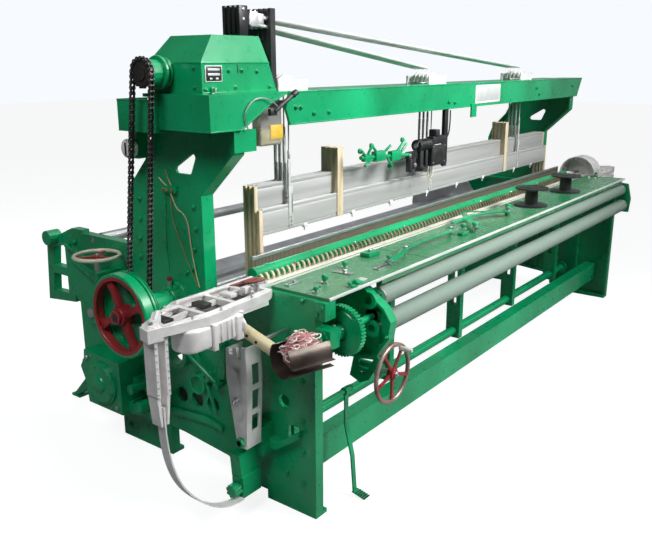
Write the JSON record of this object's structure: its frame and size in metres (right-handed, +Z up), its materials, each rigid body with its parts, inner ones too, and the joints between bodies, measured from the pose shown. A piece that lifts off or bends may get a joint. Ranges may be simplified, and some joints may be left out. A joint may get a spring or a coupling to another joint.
{
  "type": "power loom",
  "caption": "Wide flexible-rapier power loom in green paint: overhead dobby, raised heald frames, reed with guide hooks, cloth rollers, handwheels and left rapier unit",
  "frame": {"origin": "middle of the footprint, on the floor", "axes": "+X along the loom from its dobby end to its far end; +Y from the weaver's side to the warp; +Z up"},
  "size_m": [4.598, 1.856, 1.858],
  "materials": {
    "green_paint": "glossy enamel",
    "dark_steel": "oily dark steel",
    "aluminium": "cast or drawn",
    "bare_steel": "ground",
    "red_paint": "gloss",
    "roller_cover": "pale grip covering",
    "cream_plastic": "smooth",
    "yarn": "loose waste yarn"
  },
  "bodies": {
    "loom": {"breast_plate": "green_paint", "dobby_housing": "green_paint", "dobby_lid": "green_paint", "dobby_tray": "green_paint", "drive_chain": "dark_steel", "front_base_beam": "green_paint", "left_gantry": "green_paint", "left_rapier_guide": "aluminium", "left_rapier_housing": "aluminium", "left_side_frame": "green_paint", "let_off_gearbox": "green_paint", "lever_bracket": "green_paint", "oil_bottle": "cream_plastic", "quadrant_set_1": "aluminium", "quadrant_set_2": "aluminium", "quadrant_set_3": "aluminium", "rear_cross_beam": "green_paint", "right_gantry": "green_paint", "right_rapier_guide": "aluminium", "right_side_frame": "green_paint", "rod_comb": "dark_steel", "selvedge_waste": "yarn", "suction_tube": "cream_plastic", "take_up_cheek": "green_paint", "tape_guide": "bare_steel", "top_beam": "green_paint", "waste_holder": "bare_steel", "weft_detector": "green_paint", "weft_spools": "dark_steel"},
    "main_drive": {"main_shaft": "dark_steel", "flywheel": "red_paint", "drive_pulley": "green_paint"},
    "dobby_drive": {"dobby_sprocket": "dark_steel"},
    "selector": {"selector_knob": "cream_plastic"},
    "sley": {"sley_beam": "bare_steel", "guide_hooks": "dark_steel", "reed": "bare_steel", "reed_cap": "green_paint"},
    "rapier_swing": {"rapier_lever": "aluminium"},
    "take_up_train": {"take_up_gear": "green_paint"},
    "upper_roll": {"upper_roller": "roller_cover"},
    "lower_roll": {"lower_roller": "roller_cover"},
    "take_up_wheel": {"take_up_handwheel": "red_paint"},
    "let_off_wheel": {"let_off_handwheel": "red_paint"},
    "warp": {"warp_beam": "green_paint"},
    "back_rest": {"back_rest_roller": "green_paint"},
    "foot_treadle": {"treadle": "green_paint"},
    "start": {"start_lever": "green_paint"},
    "heald_1": {"heald_frame_1": "aluminium"},
    "jack_1": {"jack_lever_1": "dark_steel"},
    "rods_1": {"pull_rods_1": "aluminium"},
    "heald_2": {"heald_frame_2": "aluminium"},
    "jack_2": {"jack_lever_2": "dark_steel"},
    "rods_2": {"pull_rods_2": "aluminium"},
    "heald_3": {"heald_frame_3": "aluminium"},
    "jack_3": {"jack_lever_3": "dark_steel"},
    "rods_3": {"pull_rods_3": "aluminium"},
    "heald_4": {"heald_frame_4": "aluminium"},
    "jack_4": {"jack_lever_4": "dark_steel"},
    "rods_4": {"pull_rods_4": "aluminium"}
  },
  "joints": [
    {"name": "main_shaft_turn", "type": "hinge", "parent": "loom", "child": "main_drive", "pos_m": [-1.733, -0.043, 0.737], "axis": [1, 0, 0], "continuous": true},
    {"name": "dobby_shaft_turn", "type": "hinge", "parent": "loom", "child": "dobby_drive", "pos_m": [-1.923, -0.156, 1.62422], "axis": [1, 0, 0], "continuous": true},
    {"name": "selector_turn", "type": "hinge", "parent": "loom", "child": "selector", "pos_m": [-1.793, 0.088, 1.34], "axis": [1, 0, 0], "range_deg": [0, 90]},
    {"name": "sley_swing", "type": "hinge", "parent": "loom", "child": "sley", "pos_m": [-1.733, -0.413, 0.172], "axis": [1, 0, 0], "range_deg": [0, 5]},
    {"name": "rapier_lever_swing", "type": "hinge", "parent": "loom", "child": "rapier_swing", "pos_m": [-1.843, -0.533, 0.316], "axis": [1, 0, 0], "range_deg": [-12, 12]},
    {"name": "take_up_wheel_turn", "type": "hinge", "parent": "loom", "child": "take_up_wheel", "pos_m": [-1.396, -0.87, 0.506], "axis": [0, 1, 0], "continuous": true},
    {"name": "take_up_gear_turn", "type": "hinge", "parent": "loom", "child": "take_up_train", "pos_m": [-1.618, -0.788, 0.728], "axis": [1, 0, 0], "continuous": true},
    {"name": "upper_roller_turn", "type": "hinge", "parent": "loom", "child": "upper_roll", "pos_m": [-1.388, -0.791, 0.797], "axis": [1, 0, 0], "continuous": true},
    {"name": "lower_roller_turn", "type": "hinge", "parent": "loom", "child": "lower_roll", "pos_m": [-1.388, -0.808, 0.69], "axis": [1, 0, 0], "continuous": true},
    {"name": "let_off_wheel_turn", "type": "hinge", "parent": "loom", "child": "let_off_wheel", "pos_m": [-1.834, 0.324, 0.88], "axis": [0, 0, 1], "continuous": true},
    {"name": "warp_beam_turn", "type": "hinge", "parent": "loom", "child": "warp", "pos_m": [-1.733, 0.532, 0.56], "axis": [1, 0, 0], "continuous": true},
    {"name": "back_rest_turn", "type": "hinge", "parent": "loom", "child": "back_rest", "pos_m": [-1.733, 0.492, 0.905], "axis": [1, 0, 0], "continuous": true},
    {"name": "treadle_press", "type": "hinge", "parent": "loom", "child": "foot_treadle", "pos_m": [-1.51, -0.734, 0.44], "axis": [1, 0, 0], "range_deg": [-6, 2]},
    {"name": "start_lever_swing", "type": "hinge", "parent": "loom", "child": "start", "pos_m": [-0.003, -0.698, 0.9], "axis": [0, 0, 1], "range_deg": [-12, 8]},
    {"name": "heald_1_lift", "type": "slide", "parent": "loom", "child": "heald_1", "axis": [0, 0, 1], "range_m": [0, 0.094]},
    {"name": "jack_1_swing", "type": "hinge", "parent": "loom", "child": "jack_1", "pos_m": [-1.563, -0.298, 1.6], "axis": [0, 1, 0], "range_deg": [-12, 0]},
    {"name": "rods_1_swing", "type": "hinge", "parent": "jack_1", "child": "rods_1", "pos_m": [-1.563, -0.298, 1.813], "axis": [0, 1, 0], "range_deg": [0, 12]},
    {"name": "heald_2_lift", "type": "slide", "parent": "loom", "child": "heald_2", "axis": [0, 0, 1], "range_m": [-0.094, 0]},
    {"name": "jack_2_swing", "type": "hinge", "parent": "loom", "child": "jack_2", "pos_m": [-1.563, -0.274, 1.6], "axis": [0, 1, 0], "range_deg": [0, 12]},
    {"name": "rods_2_swing", "type": "hinge", "parent": "jack_2", "child": "rods_2", "pos_m": [-1.563, -0.274, 1.813], "axis": [0, 1, 0], "range_deg": [-12, 0]},
    {"name": "heald_3_lift", "type": "slide", "parent": "loom", "child": "heald_3", "axis": [0, 0, 1], "range_m": [-0.094, 0]},
    {"name": "jack_3_swing", "type": "hinge", "parent": "loom", "child": "jack_3", "pos_m": [-1.563, -0.25, 1.6], "axis": [0, 1, 0], "range_deg": [0, 12]},
    {"name": "rods_3_swing", "type": "hinge", "parent": "jack_3", "child": "rods_3", "pos_m": [-1.563, -0.25, 1.813], "axis": [0, 1, 0], "range_deg": [-12, 0]},
    {"name": "heald_4_lift", "type": "slide", "parent": "loom", "child": "heald_4", "axis": [0, 0, 1], "range_m": [-0.094, 0]},
    {"name": "jack_4_swing", "type": "hinge", "parent": "loom", "child": "jack_4", "pos_m": [-1.563, -0.226, 1.6], "axis": [0, 1, 0], "range_deg": [0, 12]},
    {"name": "rods_4_swing", "type": "hinge", "parent": "jack_4", "child": "rods_4", "pos_m": [-1.563, -0.226, 1.813], "axis": [0, 1, 0], "range_deg": [-12, 0]}
  ],
  "couplings": [
    {"joint": "dobby_shaft_turn", "follows": "main_shaft_turn", "ratio": 1.25},
    {"joint": "take_up_gear_turn", "follows": "take_up_wheel_turn", "ratio": 0.05},
    {"joint": "upper_roller_turn", "follows": "take_up_wheel_turn", "ratio": 0.1},
    {"joint": "lower_roller_turn", "follows": "take_up_wheel_turn", "ratio": -0.0925},
    {"joint": "jack_1_swing", "follows": "heald_1_lift", "rad_per_m": -2.2281},
    {"joint": "rods_1_swing", "follows": "heald_1_lift", "rad_per_m": 2.2281},
    {"joint": "jack_2_swing", "follows": "heald_2_lift", "rad_per_m": -2.2281},
    {"joint": "rods_2_swing", "follows": "heald_2_lift", "rad_per_m": 2.2281},
    {"joint": "jack_3_swing", "follows": "heald_3_lift", "rad_per_m": -2.2281},
    {"joint": "rods_3_swing", "follows": "heald_3_lift", "rad_per_m": 2.2281},
    {"joint": "jack_4_swing", "follows": "heald_4_lift", "rad_per_m": -2.2281},
    {"joint": "rods_4_swing", "follows": "heald_4_lift", "rad_per_m": 2.2281}
  ]
}
